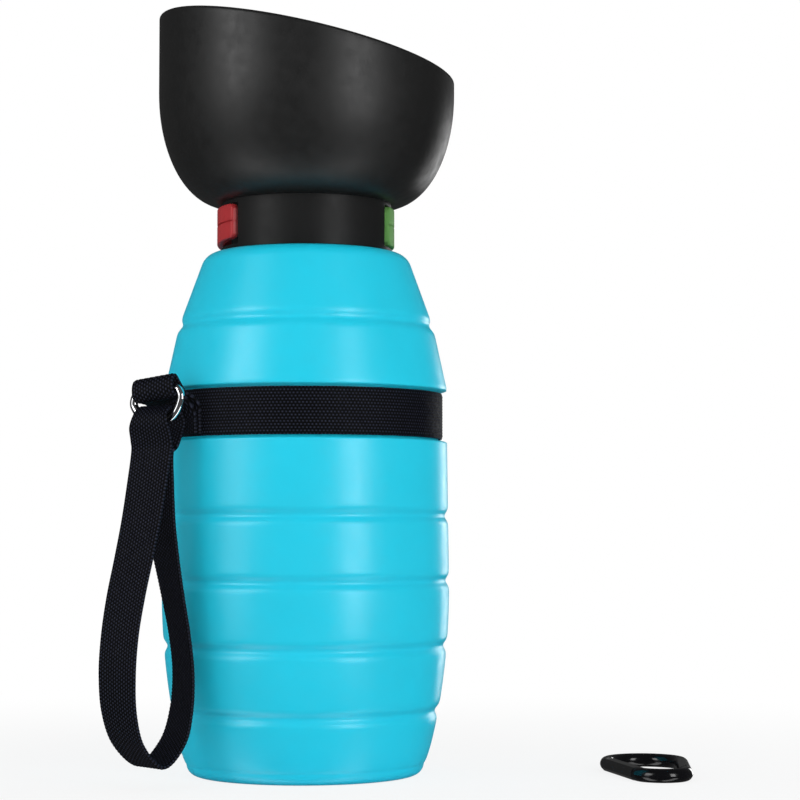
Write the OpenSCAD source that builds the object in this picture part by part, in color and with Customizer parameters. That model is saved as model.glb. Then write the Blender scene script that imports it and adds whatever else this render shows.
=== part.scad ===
// Dog travel water bottle: a squeeze bottle with a slanted drinking bowl, a push-through
// valve in its cap, a webbing band with a ring and a wrist strap, and a loose snap hook.
// Millimetres, +Z up. The origin is the centre of the base, and the viewer is on the -Y side.

/* [Bottle] */
// Largest radius of the barrel
belly_r = 40; // [38.5:0.5:42]
// Height of the largest radius above the floor
belly_z = 52; // [46:1:58]
// Radius just above the rounded base corner
base_r = 32.9; // [30:0.5:34]
// Radius of the rounded base corner
base_corner = 3.2; // [2:0.2:4]
// Radius of the lip over the band
lip_r = 39.3; // [38.6:0.1:40]
// Radius of the barrel at the groove over the band
cone_r = 35.6; // [34.5:0.1:36.5]
// Radius where the shoulder rounds over
shoulder_r = 30.3; // [29:0.1:31]
// Height of the ledge that carries the neck
shoulder_z = 145; // [142:1:150]
// Radius of the shoulder's rounding
shoulder_round = 6; // [4:0.5:6.5]
// Thickness of the bottle's wall
wall = 1.3; // [0.9:0.1:1.8]
// Depth of the squeeze grooves
groove_depth = 1; // [0.6:0.1:1.2]
// Half width of the squeeze grooves
groove_w = 1.4; // [1:0.1:2]
// Height of the lowest squeeze groove
groove_z = 17.8; // [15:0.5:20]
// Distance from one squeeze groove to the next
groove_pitch = 17.9; // [16:0.1:18.5]

/* [Neck] */
// Outer radius of the neck's tube
neck_r = 16.2; // [15.5:0.1:16.6]
// Radius of the mouth
mouth_r = 14.4; // [12:0.2:14.6]
// Height of the neck over its ledge
neck_h = 4.6; // [4.2:0.1:5.2]
// Distance that one turn of the thread climbs
thread_pitch = 2.4; // [2:0.2:2.6]
// How far the thread stands out of the neck
thread_depth = 0.9; // [0.6:0.1:1]
// Clearance round the thread
thread_gap = 0.3; // [0.25:0.05:0.4]

/* [Cap] */
// Outer radius of the cap's collar
collar_r = 23.8; // [23.4:0.1:24.6]
// Height of the collar
collar_h = 13.6; // [13.4:0.1:14.4]
// Thickness of the collar's outer wall
collar_wall = 1.9; // [1.5:0.1:2.1]
// Thickness of the skirt that holds the cap's thread
skirt_wall = 1.3; // [1.1:0.1:1.5]
// Gap between the collar and the bottle's shoulder
collar_gap = 0.3; // [0.2:0.1:0.5]
// Thickness of the gasket on the bottle's lip
gasket_t = 1.2; // [0.8:0.1:1.5]
// Thickness of the deck over the mouth
deck_t = 1.3; // [1:0.1:1.5]
// Thickness of the plate over the slide
cover_t = 1.8; // [1.4:0.1:2]

/* [Valve] */
// Angle of the slide to the row's X axis
slide_turn = 8.75; // [0:0.25:20]
// Width of the slide bar
bar_w = 12; // [10:0.5:14]
// Thickness of the slide bar
bar_t = 3; // [2.6:0.1:3.2]
// Clearance between the slide bar and its channel
bar_gap = 0.06; // [0.04:0.01:0.1]
// Radius of the water port
port_r = 1.9; // [1.4:0.1:2]
// Travel of the slide each way from its middle
slide_travel = 2.2; // [1.8:0.1:2.4]
// Width of a push button
button_w = 24; // [18:0.5:25]
// Height of a push button
button_h = 10.9; // [10:0.1:11.2]
// Thickness of a push button
button_t = 2; // [1.6:0.1:2.2]
// How far the close button stands out of the collar
close_proud = 1.3; // [0.8:0.1:1.6]
// How far the open button stands out of the collar
open_proud = 0.9; // [0.5:0.1:1.4]
// Gap round a push button in its window
window_gap = 0.3; // [0.2:0.05:0.4]
// Width of the tongue that holds a button on the bar
tongue_w = 6; // [4:0.5:8]
// Thickness of the tongue that holds a button on the bar
tongue_t = 1.6; // [1.2:0.1:2]
// Length of the tongue that holds a button on the bar
tongue_l = 1.1; // [0.8:0.1:1.2]
// Width of a seal ring's rubber
seal_w = 2.2; // [1.5:0.1:2.6]
// Thickness of a seal ring
seal_t = 0.7; // [0.5:0.1:0.8]

/* [Bowl] */
// Radius of the bowl's round wall
bowl_r = 41.6; // [39:0.2:44]
// Height of the bowl's slanted rim at its middle, from the floor
rim_z = 203; // [196:1:212]
// Slant of the rim
rim_tilt = 12.4; // [0:0.2:14]
// Height of the bowl's rounded lower part
bowl_round_h = 31; // [27:0.5:34]
// Radius where the bowl's rounding starts
bowl_floor_r = 24.4; // [24:0.1:25]
// Thickness of the bowl's wall
bowl_wall = 2.4; // [1.8:0.1:3]
// Thickness of the bowl's floor
bowl_floor_t = 2.6; // [2:0.1:3]
// Radius of the ring that clamps the bowl
clamp_r = 20.5; // [19.5:0.1:21]
// Thickness of the ring that clamps the bowl
clamp_t = 1.8; // [1.4:0.1:2.4]
// Outer radius of the outlet nozzle
nozzle_r = 4.4; // [4.2:0.1:5]
// Radius of the outlet nozzle's flange
nozzle_flange_r = 8.2; // [7:0.2:9]
// Height of the outlet nozzle over the bowl's floor
nozzle_h = 4.5; // [3:0.5:7]
// Distance of the clamp screws from the axis
screw_at_r = 15; // [14.4:0.1:15.4]
// Radius of a clamp screw's shank
screw_r = 1.1; // [1:0.05:1.3]
// Radius of a clamp screw's head
screw_head_r = 2.1; // [1.8:0.1:2.4]

/* [Webbing] */
// Width of the webbing
web_w = 12.7; // [12:0.1:13.4]
// Thickness of the webbing
web_t = 1.2; // [1:0.1:1.4]
// Height of the band's middle above the floor
band_z = 99.2; // [96:0.2:103]
// Depth of the band's seat under the lip
band_seat = 2.3; // [1.8:0.1:2.6]
// Gap between two layers of webbing, and between webbing and what it holds
web_gap = 0.3; // [0.2:0.05:0.4]
// Radius of the ring's wire
ring_wire_r = 1.1; // [0.9:0.05:1.2]
// Distance from the ring's straight bar to its far curve
ring_drop = 8.6; // [8.2:0.1:9.4]

/* [Snap hook] */
// Radius of the hook's round bar
hook_r = 1.9; // [1.7:0.05:2.1]
// Radius of the wide end's centre line
hook_wide_r = 10.5; // [9.5:0.1:11.5]
// Radius of the narrow end's centre line
hook_narrow_r = 6.7; // [6:0.1:7.4]
// Distance between the centres of the two ends
hook_l = 25.8; // [24:0.2:30]
// Width of the hook's flat spine
spine_w = 5; // [4.6:0.1:5.4]
// Thickness of the hook's flat spine
spine_t = 3.4; // [3:0.1:3.6]
// Thickness of the tongues that enter the gate
gate_tongue_t = 1.4; // [1.2:0.1:1.5]
// Clearance at the gate's slots and ends
gate_gap = 0.25; // [0.2:0.05:0.3]
// Radius of the gate's pin
gate_pin_r = 0.6; // [0.5:0.05:0.7]
// Radius of the gate's spring
gate_spring_r = 0.8; // [0.7:0.05:0.9]

/* [Hidden] */
$fn = 96;
eps = 0.01;

// Bottle
lip_z = band_z + 8.2;
cone_z = band_z + 25.2;
profile_step = 6;
groove_reach = 2.2 * groove_w;
barrel_power = 0.7;
band_seat_h = web_w + 0.5;
band_edge = 0.7;
base_dish_r = 22;
base_dish_in = 14;
base_dish_h = 1;
ledge_t = 1.6;

// Cap and valve, from the bottle's ledge up
lip_top = shoulder_z + neck_h;
deck_z = lip_top + gasket_t;
bar_z = deck_z + deck_t + bar_gap;
channel_top = bar_z + bar_t + bar_gap;
collar_z = shoulder_z + collar_gap;
collar_top = collar_z + collar_h;
cover_z = channel_top;
button_z = collar_z + (collar_h - button_h) / 2;
skirt_r = neck_r + thread_depth + thread_gap;
thread_z = shoulder_z + 1.3;
thread_drop = 1.1;
button_close_r = collar_r + close_proud;
button_open_r = collar_r + open_proud;
pocket_r = min(button_close_r, button_open_r) - button_t - slide_travel - window_gap;
core_r = collar_r - collar_wall;
seal_in_r = port_r + 0.3;
seal_out_r = seal_in_r + seal_w;

// Bowl
floor_z = collar_top;
floor_top = floor_z + bowl_floor_t;
bowl_round_z = floor_z + bowl_round_h;
rim_cut = 2 * bowl_r + 40;
screw_head_t = 1.2;
screw_tip_z = deck_z + 0.3;
screw_hole_r = screw_r + 0.15;
screw_turn = [52, 128, 232, 308];

// Webbing. The tab leaves the band at the front left and holds the ring's bar.
band_floor_r = lip_r - band_seat;
band_r = band_floor_r + 0.05;
tab_turn = 217.2;
tab_out = 10.5;
ring_turn = -27.6;
ring_tilt = 7;
ring_half = web_w / 2 + web_gap + ring_wire_r;
ring_normal = [sin(ring_turn), -cos(ring_turn), 0];
ring_up = [-cos(ring_turn) * sin(ring_tilt), -sin(ring_turn) * sin(ring_tilt), cos(ring_tilt)];
ring_leg = ring_drop - ring_half;
tab_reach = band_r + web_t + tab_out;
ring_at = [tab_reach * cos(tab_turn), tab_reach * sin(tab_turn), band_z + 5.4];
fold_r = ring_wire_r + web_gap + web_t / 2;
strap_top = ring_at - ring_leg * ring_up - [0, 0, ring_half];
strap_fold_w = 10;
wire_side = sqrt(pow(ring_half, 2) - pow(strap_fold_w / 2, 2));
wire_rise = ring_half - wire_side;
strap_fold_h = wire_rise + ring_wire_r * ring_half / wire_side + web_gap + web_t / 2;
strap_fold_r = strap_fold_h - 0.3;
front_gap = 2.5;
front_drop = 5;
back_drop = 6;
tab_rise = 1.5;
swing_room = 44;
leg_gap = (web_t + web_gap) / 2;

// The wrist strap's two legs hang from the ring: [x, y, z, turn of the webbing's width],
// measured from the ring's lowest point.
left_leg = [
    [-1.2, -2.1, -8, -30], [-2.1, -3.6, -16, -31], [-3.4, -5.4, -26, -32],
    [-5, -7.8, -36, -33], [-6.7, -10.4, -46, -34], [-7.9, -12.8, -56, -36],
    [-8.3, -14.4, -66, -37], [-7.7, -14.4, -76, -40], [-5.4, -12.3, -84.4, -45]
];
strap_low = [0, -8.4, -90, -50];
right_leg = [
    [5.1, -4, -84.4, -54], [7.2, -1.8, -76, -58], [7.6, -1.2, -66, -60], [6.5, -0.9, -56, -60],
    [4.7, -0.8, -46, -58], [2.9, -0.9, -36, -54], [1.2, -1, -26, -47], [0, -0.8, -16, -38],
    [-0.6, -0.4, -8, -32]
];

// Snap hook, lying on the floor to the right of the bottle
hook_at = [96, -4, hook_r];
hook_turn = 4;
hook_lean = asin((hook_wide_r - hook_narrow_r) / hook_l);
hook_side_l = hook_l * cos(hook_lean);
hinge_s = 4.2;
tongue_half = 1.3;
nose_l = 2.2;
slot_gap = 0.08;
pin_gap = 0.04;
pin_half = hook_r - 0.1;
spring_l = 8;
join = 0.5;
seam = 0.05;

// ---- Helpers ----

function lerp(a, b, t) = a + (b - a) * t;
function smooth(t) = let(u = min(1, max(0, t))) u * u * (3 - 2 * u);

// A tube between two radii
module ring(r_out, r_in, z, h) {
    translate([0, 0, z])
        difference() {
            cylinder(r = r_out, h = h);
            translate([0, 0, -eps]) cylinder(r = r_in, h = h + 2 * eps);
        }
}

// What stands along the valve's slide is drawn along X and turned into place
module along_slide() {
    rotate([0, 0, slide_turn]) children();
}

// Smooth closed or open curve through points [x, y, z, turn]
function spline(p, i, t) =
    let(n = len(p), a = p[max(0, i - 1)], b = p[i], c = p[min(n - 1, i + 1)], d = p[min(n - 1, i + 2)])
    0.5 * (2 * b + (c - a) * t + (2 * a - 5 * b + 4 * c - d) * t * t + (3 * b - a - 3 * c + d) * t * t * t);

function through(p, steps) =
    concat([for (i = [0:len(p) - 2]) for (k = [0:steps - 1]) spline(p, i, k / steps)], [p[len(p) - 1]]);

function unit(v) = v / norm(v);
function place(q) = [q[0], q[1], q[2]];

// Webbing along a path of [x, y, z, turn, width, tilt of the width]: a flat strip, t thick
function strip_corner(path, closed, i, side, face, t) =
    let(
        n = len(path),
        before = place(path[closed ? (i + n - 1) % n : max(0, i - 1)]),
        after = place(path[closed ? (i + 1) % n : min(n - 1, i + 1)]),
        along = unit(after - before),
        tilt = path[i][5],
        level = [cos(path[i][3]) * cos(tilt), sin(path[i][3]) * cos(tilt), sin(tilt)],
        across = unit(level - along * (level * along)),
        normal = cross(along, across)
    )
    place(path[i]) + across * side * path[i][4] / 2 + normal * face * t / 2;

module strip(path, t, closed = false) {
    n = len(path);
    corners = [[-1, -1], [1, -1], [1, 1], [-1, 1]];
    points = [for (i = [0:n - 1]) for (c = corners) strip_corner(path, closed, i, c[0], c[1], t)];
    rings = closed ? n : n - 1;
    sides = [for (i = [0:rings - 1]) for (k = [0:3])
        let(a = i * 4 + k, b = i * 4 + (k + 1) % 4, j = (i + 1) % n, c = j * 4 + (k + 1) % 4, d = j * 4 + k)
        each [[a, b, c], [a, c, d]]];
    ends = closed ? [] : [[0, 2, 1], [0, 3, 2], [n * 4 - 4, n * 4 - 3, n * 4 - 2], [n * 4 - 4, n * 4 - 2, n * 4 - 1]];
    polyhedron(points = points, faces = [for (f = concat(sides, ends)) [f[2], f[1], f[0]]], convexity = 8);
}

// ---- Bottle ----

function barrel_r(z) =
    z < belly_z
        ? base_r + (belly_r - base_r) * pow(sin(90 * (z - base_corner) / (belly_z - base_corner)), barrel_power)
        : z < lip_z ? lerp(belly_r, lip_r, (z - belly_z) / (lip_z - belly_z))
        : z < cone_z ? lerp(lip_r, cone_r, (z - lip_z) / (cone_z - lip_z))
        : lerp(cone_r, shoulder_r, (z - cone_z) / (shoulder_z - shoulder_round - cone_z));
function groove_at(i) = i < 4 ? groove_z + i * groove_pitch : cone_z;
function grooves(z) = max([for (i = [0:4]) groove_depth * exp(-pow((z - groove_at(i)) / groove_w, 2))]);
function seat(z) = 1 - smooth((abs(z - band_z) - band_seat_h / 2) / band_edge);
function outside_r(z) = lerp(barrel_r(z) - grooves(z), band_floor_r, seat(z));

// Heights of the outline's points from one height to another
function spread(low, high) =
    let(n = max(1, ceil((high - low) / profile_step))) [for (i = [0:n]) lerp(low, high, i / n)];
function in_groove(i) = [for (k = [-2:2]) groove_at(i) + k * groove_reach / 3];

module bottle_outline(inset, z_top) {
    z_low = base_corner;
    z_high = shoulder_z - shoulder_round;
    seat_low = band_z - band_seat_h / 2;
    seat_high = band_z + band_seat_h / 2;
    heights = concat(
        spread(z_low + 0.05, groove_at(0) - groove_reach),
        [for (i = [0:2])
            each concat(in_groove(i), spread(groove_at(i) + groove_reach, groove_at(i + 1) - groove_reach))],
        in_groove(3),
        spread(groove_at(3) + groove_reach, seat_low - band_edge),
        [seat_low - band_edge / 2, seat_low, seat_high, seat_high + band_edge / 2],
        spread(seat_high + band_edge, cone_z - groove_reach),
        in_groove(4),
        spread(cone_z + groove_reach, z_high));
    corner_in = base_r - base_corner;
    top_in = shoulder_r - shoulder_round;
    polygon(concat(
        [[0, inset]],
        [for (a = [-90:18:-18])
            [corner_in + (base_corner - inset) * cos(a), base_corner + (base_corner - inset) * sin(a)]],
        [for (z = heights) [outside_r(z) - inset, z]],
        [for (a = [18:18:90])
            [top_in + (shoulder_round - inset) * cos(a), z_high + (shoulder_round - inset) * sin(a)]],
        [[0, z_top]]
    ));
}

// Thread with a rising wedge section. It stands out of a wall of radius r, or into it.
module thread(r, depth, z, turns, pitch, width) {
    per_turn = 24;
    n = round(turns * per_turn);
    points = [for (i = [0:n])
        let(
            a = 360 * i / per_turn,
            grow = min(1, i / 4, (n - i) / 4),
            rise = z + pitch * i / per_turn,
            foot = r - sign(depth) * 0.25,
            top = r + depth * max(0.05, grow)
        )
        for (q = [[foot, -width / 2], [top, -width / 5], [top, width / 5], [foot, width / 2]])
            [q[0] * cos(a), q[0] * sin(a), rise + q[1]]];
    sides = [for (i = [0:n - 1]) for (k = [0:3])
        let(a = i * 4 + k, b = i * 4 + (k + 1) % 4, c = b + 4, d = a + 4)
        each [[a, b, c], [a, c, d]]];
    ends = [[0, 2, 1], [0, 3, 2], [n * 4, n * 4 + 1, n * 4 + 2], [n * 4, n * 4 + 2, n * 4 + 3]];
    all_faces = concat(sides, ends);
    polyhedron(points = points, faces = depth > 0 ? all_faces : [for (f = all_faces) [f[2], f[1], f[0]]],
               convexity = 8);
}

module bottle_body() {
    color([0.16, 0.80, 0.90])
    difference() {
        union() {
            rotate_extrude() bottle_outline(0, shoulder_z);
            translate([0, 0, shoulder_z - eps]) cylinder(r = neck_r, h = neck_h + eps);
            thread(neck_r, thread_depth, thread_z, 1, thread_pitch, 1.1);
        }
        rotate_extrude() bottle_outline(wall, shoulder_z - ledge_t);
        translate([0, 0, shoulder_z - ledge_t - 1]) cylinder(r = mouth_r, h = neck_h + ledge_t + 2);
        ring(base_dish_r, base_dish_in, -eps, base_dish_h);
    }
}

// ---- Cap ----

module cap_gasket() {
    color([0.85, 0.85, 0.83])
    ring(neck_r, mouth_r, lip_top, gasket_t);
}

// Space that a button and its bar sweep in the collar, on the +X side
module button_pocket() {
    intersection() {
        translate([0, -button_w / 2 - window_gap, button_z - window_gap])
            cube([collar_r + 5, button_w + 2 * window_gap, button_h + 2 * window_gap]);
        ring(collar_r + 4, pocket_r, button_z - window_gap - 1, button_h + 2 * window_gap + 2);
    }
}

module slide_channel(length) {
    translate([-length / 2, -bar_w / 2 - bar_gap, deck_z + deck_t])
        cube([length, bar_w + 2 * bar_gap, bar_t + 2 * bar_gap]);
}

module cap_collar() {
    color([0.10, 0.10, 0.11])
    along_slide()
    difference() {
        union() {
            ring(collar_r, core_r, collar_z, collar_h);
            ring(skirt_r + skirt_wall, skirt_r, collar_z, deck_z - collar_z);
            ring(core_r + eps, skirt_r + eps, deck_z - 1, 1);
            translate([0, 0, deck_z]) cylinder(r = core_r + eps, h = cover_z - deck_z);
            rotate([0, 0, 90 - slide_turn])
                thread(skirt_r, -thread_depth, thread_z + thread_pitch / 4 - thread_drop, 0.9, thread_pitch, 1);
        }
        slide_channel(3 * collar_r);
        button_pocket();
        mirror([1, 0, 0]) button_pocket();
        translate([0, 0, deck_z - 1]) cylinder(r = port_r, h = deck_t + 2);
        translate([0, 0, bar_z - bar_gap - seal_t]) cylinder(r = seal_out_r, h = seal_t + 1);
        screw_holes(screw_r, screw_tip_z, cover_z);
    }
}

module screw_holes(r, z0, z1) {
    for (a = screw_turn)
        rotate([0, 0, a]) translate([screw_at_r, 0, z0]) cylinder(r = r, h = z1 - z0 + 1, $fn = 24);
}

// ---- Valve ----

module lower_valve_seal() {
    color([0.85, 0.85, 0.83])
    ring(seal_out_r, seal_in_r, bar_z - bar_gap - seal_t, seal_t);
}

module upper_valve_seal() {
    color([0.85, 0.85, 0.83])
    ring(seal_out_r, seal_in_r, cover_z, seal_t);
}

module tongue(x) {
    translate([min(0, x), -tongue_w / 2, bar_z + (bar_t - tongue_t) / 2])
        cube([abs(x), tongue_w, tongue_t]);
}

// Half of the bar, from the middle to the inner face of a button at radius r
module half_bar(r) {
    intersection() {
        translate([-join, -bar_w / 2, bar_z]) cube([collar_r + join, bar_w, bar_t]);
        translate([0, 0, bar_z]) cylinder(r = r, h = bar_t);
    }
}

module slide_bar() {
    color([0.90, 0.90, 0.88])
    along_slide()
    difference() {
        union() {
            half_bar(button_open_r - button_t);
            mirror([1, 0, 0]) half_bar(button_close_r - button_t);
            tongue(button_open_r - button_t + tongue_l);
            tongue(-(button_close_r - button_t + tongue_l));
        }
        translate([slide_travel, 0, bar_z - 1]) cylinder(r = port_r, h = bar_t + 2);
    }
}

// A push button on the +X side, with a curved face of radius r
module button(r, corner) {
    difference() {
        intersection() {
            ring(r, r - button_t, button_z, button_h);
            rotate([90, 0, 90])
                linear_extrude(r + 1)
                    offset(r = corner, $fn = 24) offset(delta = -corner)
                        translate([-button_w / 2, button_z]) square([button_w, button_h]);
        }
        tongue(r - button_t + tongue_l);
    }
}

module close_button() {
    color([0.70, 0.20, 0.21])
    along_slide() mirror([1, 0, 0]) button(button_close_r, 1.2);
}

module open_button() {
    color([0.36, 0.58, 0.30])
    along_slide() button(button_open_r, 1.2);
}

module valve_cover() {
    color([0.20, 0.20, 0.21])
    along_slide()
    difference() {
        union() {
            translate([0, 0, cover_z]) cylinder(r = pocket_r, h = cover_t);
            translate([0, 0, cover_z]) cylinder(r = nozzle_r + 2, h = floor_z - cover_z);
            ring(clamp_r - 1, clamp_r - 3, cover_z, floor_z - cover_z);
        }
        translate([0, 0, cover_z - 1]) cylinder(r = port_r, h = cover_t + 6);
        translate([0, 0, cover_z - 1]) cylinder(r = seal_out_r, h = seal_t + 1);
        screw_holes(screw_hole_r, cover_z - 1, floor_z);
    }
}

// ---- Bowl ----

function bowl_arc(a, inset) =
    [bowl_floor_r + (bowl_r - bowl_floor_r - inset) * sin(a),
     bowl_round_z - (bowl_round_h - inset) * cos(a)];

module bowl_side(inset, low) {
    polygon(concat(
        [[0, low]],
        [for (a = [0:7.5:90]) let(q = bowl_arc(a, inset)) [q[0], max(low, q[1])]],
        [[bowl_r - inset, rim_z + 40], [0, rim_z + 40]]
    ));
}

module bowl() {
    color([0.13, 0.13, 0.14])
    difference() {
        rotate_extrude() bowl_side(0, floor_z);
        rotate_extrude() bowl_side(bowl_wall, floor_top);
        translate([0, 0, rim_z]) rotate([0, rim_tilt, 0])
            translate([-rim_cut / 2, -rim_cut / 2, 0]) cube([rim_cut, rim_cut, 2 * rim_cut]);
        translate([0, 0, floor_z - 1]) cylinder(r = nozzle_r, h = bowl_floor_t + 2);
        along_slide() screw_holes(screw_hole_r, floor_z - 1, floor_top);
    }
}

module outlet_nozzle() {
    color([0.20, 0.20, 0.21])
    difference() {
        union() {
            translate([0, 0, floor_z]) cylinder(r = nozzle_r, h = bowl_floor_t + nozzle_h);
            translate([0, 0, floor_top]) cylinder(r = nozzle_flange_r, h = clamp_t);
        }
        translate([0, 0, floor_z - 1]) cylinder(r = port_r + 0.6, h = bowl_floor_t + nozzle_h + 2);
    }
}

module bowl_clamp_ring() {
    color([0.16, 0.16, 0.17])
    along_slide()
    difference() {
        ring(clamp_r, nozzle_flange_r + 0.1, floor_top, clamp_t);
        screw_holes(screw_hole_r, floor_top - 1, floor_top + clamp_t);
    }
}

module clamp_screws() {
    color([0.75, 0.75, 0.77])
    along_slide()
    for (a = screw_turn)
        rotate([0, 0, a]) translate([screw_at_r, 0, 0])
            difference() {
                union() {
                    translate([0, 0, screw_tip_z + 0.3])
                        cylinder(r = screw_r, h = floor_top + clamp_t - screw_tip_z, $fn = 24);
                    translate([0, 0, floor_top + clamp_t])
                        cylinder(r1 = screw_head_r, r2 = screw_head_r * 0.8, h = screw_head_t, $fn = 24);
                }
                translate([-screw_head_r, -0.3, floor_top + clamp_t + screw_head_t - 0.6])
                    cube([2 * screw_head_r, 0.6, 1]);
                translate([-0.3, -screw_head_r, floor_top + clamp_t + screw_head_t - 0.6])
                    cube([0.6, 2 * screw_head_r, 1]);
            }
}

// ---- Webbing ----

module strap_band() {
    color([0.09, 0.09, 0.11])
    ring(band_r + web_t, band_r, band_z - web_w / 2, web_w);
}

// The tab: up from the band, round the ring's bar and back. Its points near the band are given
// outward and up from the band's face, and those near the ring across and up from the ring's bar.
function tab_point(out, up, share) =
    let(r = band_r + web_t + out)
    [r * cos(tab_turn), r * sin(tab_turn), band_z + up, lerp(tab_turn - 270, ring_turn, share), web_w,
     share * ring_tilt];
function bar_point(across, up, share) =
    let(q = ring_at + across * ring_normal + up * ring_up)
    [q[0], q[1], q[2], lerp(tab_turn - 270, ring_turn, share), web_w, share * ring_tilt];

module strap_tab() {
    ply = web_t / 2 + 0.05;
    foot = 0.5 - web_w / 2;
    inner = [tab_point(ply, foot, 0), tab_point(ply, -3, 0), tab_point(ply + 0.4, 0, 0.05),
             tab_point(2.3, 2.4, 0.35), bar_point(-4.1, -0.6, 0.9), bar_point(-2.9, 0.6, 1)];
    over = [for (a = [140:-36:-112])
        bar_point(fold_r * cos(a), fold_r * sin(a) + tab_rise * max(0, sin(a)), 1)];
    outer = [bar_point(-2.3, -2.1, 1), bar_point(-4.5, -2.7, 0.85), tab_point(3.9, 0.4, 0.45),
             tab_point(ply + web_t + 0.7, -2.4, 0.1), tab_point(ply + web_t + 0.2, foot, 0)];
    color([0.09, 0.09, 0.11])
    strip(through(concat(inner, over, outer), 2), web_t);
}

module ring_part() {
    side = ring_half;
    rotate([90, 0, 0])
        translate([0, -ring_leg, 0]) rotate([0, 0, 180])
            rotate_extrude(angle = 180) translate([side, 0]) circle(r = ring_wire_r, $fn = 32);
    for (x = [-side, side]) {
        translate([x, 0, -ring_leg]) cylinder(r = ring_wire_r, h = ring_leg, $fn = 32);
        translate([x, 0, 0]) sphere(r = ring_wire_r, $fn = 32);
    }
    translate([-side, 0, 0]) rotate([0, 90, 0]) cylinder(r = ring_wire_r, h = 2 * side, $fn = 32);
}

module d_ring() {
    color([0.80, 0.80, 0.82])
    translate(ring_at) rotate([0, 0, ring_turn]) rotate([0, -ring_tilt, 0]) ring_part();
}

// How far the strap has widened again at angle a round its fold. The front stays narrow for longer,
// since it turns up into the ring as the strap swings out.
function fold_share(a) = a < 90 ? pow(max(0, cos(a + swing_room)), 2) : pow(cos(a), 2);

module wrist_strap() {
    fold = [for (a = [205:-23:-25])
        let(q = strap_top + ring_normal * strap_fold_r * cos(a) + [0, 0, strap_fold_h * sin(a)])
        [q[0], q[1], q[2], ring_turn, lerp(strap_fold_w, web_w, fold_share(a)), 0]];
    below = function(across, drop) let(q = strap_top + ring_normal * across - [0, 0, drop])
        [q[0], q[1], q[2], ring_turn, web_w, 0];
    leg = function(list) [for (q = list)
        [strap_top[0] + q[0], strap_top[1] + q[1], strap_top[2] + q[2], q[3], web_w, 0]];
    path = concat(fold, [below(front_gap, front_drop)], leg(left_leg), leg([strap_low]),
                  leg(right_leg), [below(-leg_gap, back_drop)]);
    color([0.09, 0.09, 0.11])
    strip(through(path, 3), web_t, closed = true);
}

// ---- Snap hook ----

module at_hook() {
    translate(hook_at) rotate([0, 0, hook_turn]) children();
}

// One straight side, drawn along Y from the narrow end's tangent point. side is 1 for the gate's
// side and -1 for the spine's.
module hook_side(side) {
    translate([0, -hook_l / 2, 0])
        rotate([0, 0, -side * hook_lean])
            translate([side * hook_narrow_r, 0, 0]) children();
}

module bar_along(r, from, to) {
    translate([0, from, 0]) rotate([-90, 0, 0]) cylinder(r = r, h = to - from, $fn = 48);
}

// An end of the hook: part of a torus from one tangent point round to the other
module hook_end(r, y, from, sweep) {
    translate([0, y, 0]) rotate([0, 0, from])
        rotate_extrude(angle = sweep) translate([r, 0]) circle(r = hook_r, $fn = 48);
}

module flat_tongue(from, to, half_w) {
    translate([-half_w, from, -gate_tongue_t / 2]) cube([2 * half_w, to - from, gate_tongue_t]);
}

module hook_body() {
    half = spine_t / 2;
    bevel = 0.8;
    outer = -hook_r - seam;
    inner = spine_w - hook_r;
    color([0.06, 0.06, 0.07])
    at_hook() {
        hook_end(hook_wide_r, hook_l / 2, -hook_lean, 180 + 2 * hook_lean);
        hook_end(hook_narrow_r, -hook_l / 2, 180 + hook_lean, 180 - 2 * hook_lean);
        hook_side(-1)
            rotate([-90, 0, 0])
                translate([0, 0, -join]) linear_extrude(hook_side_l + 2 * join)
                    polygon([[outer + bevel, -half], [inner - 2 * bevel, -half], [inner, -half / 2],
                             [inner, half / 2], [inner - 2 * bevel, half], [outer + bevel, half],
                             [outer, half / 2], [outer, -half / 2]]);
        hook_side(1) {
            bar_along(hook_r - seam, -join, hinge_s - hook_r - gate_gap);
            difference() {
                union() {
                    flat_tongue(0.5, hinge_s, tongue_half);
                    translate([0, hinge_s, -gate_tongue_t / 2])
                        cylinder(r = tongue_half, h = gate_tongue_t, $fn = 48);
                }
                translate([0, hinge_s, -hook_r])
                    cylinder(r = gate_pin_r + pin_gap, h = 2 * hook_r, $fn = 48);
            }
            flat_tongue(hook_side_l - nose_l, hook_side_l + join, tongue_half);
        }
    }
}

module gate_slot(from, to) {
    translate([-hook_r - 1, from, -gate_tongue_t / 2 - slot_gap])
        cube([2 * hook_r + 2, to - from, gate_tongue_t + 2 * slot_gap]);
}

module hook_gate() {
    color([0.06, 0.06, 0.07])
    at_hook() hook_side(1)
        difference() {
            union() {
                bar_along(hook_r, hinge_s, hook_side_l - gate_gap);
                intersection() {
                    bar_along(hook_r, hinge_s - hook_r, hinge_s + 1);
                    translate([0, hinge_s, -hook_r]) cylinder(r = hook_r, h = 2 * hook_r, $fn = 48);
                }
            }
            gate_slot(hinge_s - hook_r - 1, hinge_s + tongue_half + gate_gap);
            gate_slot(hook_side_l - nose_l - gate_gap, hook_side_l + 1);
            bar_along(gate_spring_r + 0.1, hinge_s, hinge_s + spring_l + 1.6);
            translate([0, hinge_s, -hook_r - 1]) cylinder(r = gate_pin_r, h = 2 * hook_r + 2, $fn = 48);
        }
}

module gate_pin() {
    color([0.75, 0.75, 0.77])
    at_hook() hook_side(1)
        translate([0, hinge_s, -pin_half]) cylinder(r = gate_pin_r, h = 2 * pin_half, $fn = 48);
}

module gate_spring() {
    color([0.75, 0.75, 0.77])
    at_hook() hook_side(1)
        bar_along(gate_spring_r, hinge_s + tongue_half + gate_gap, hinge_s + spring_l + 1.6);
}

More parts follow.
